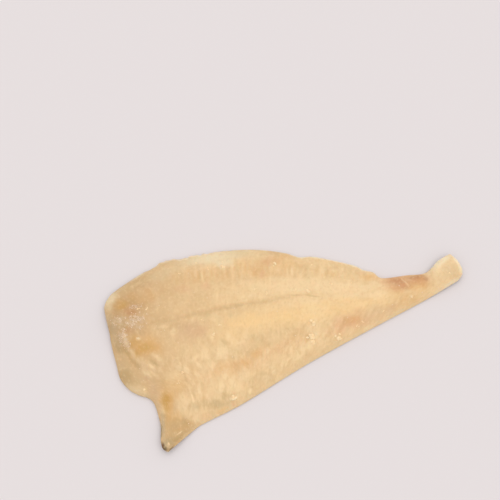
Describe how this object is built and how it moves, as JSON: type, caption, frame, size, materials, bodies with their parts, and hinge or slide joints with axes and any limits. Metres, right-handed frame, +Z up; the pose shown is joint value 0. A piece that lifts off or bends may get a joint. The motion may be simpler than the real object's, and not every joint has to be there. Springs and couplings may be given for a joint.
{
  "type": "plaice fillet",
  "caption": "Frozen flatfish fillet lying on its skin: a broad flat slab of ribbed pale flesh with a lateral-line groove, a thin belly flap and a narrow cut tail.",
  "frame": {"origin": "centre of the fillet's box, on the surface it rests on", "axes": "+X from the head end to the tail, +Y from the belly edge to the back edge, +Z up from the skin side to the cut side"},
  "size_m": [0.2436, 0.1282, 0.011],
  "materials": {
    "flesh": "pale cream-yellow fish flesh under a thin frozen glaze, with dark brown skin on the underside"
  },
  "bodies": {
    "root": {"fillet": "flesh"}
  },
  "joints": []
}
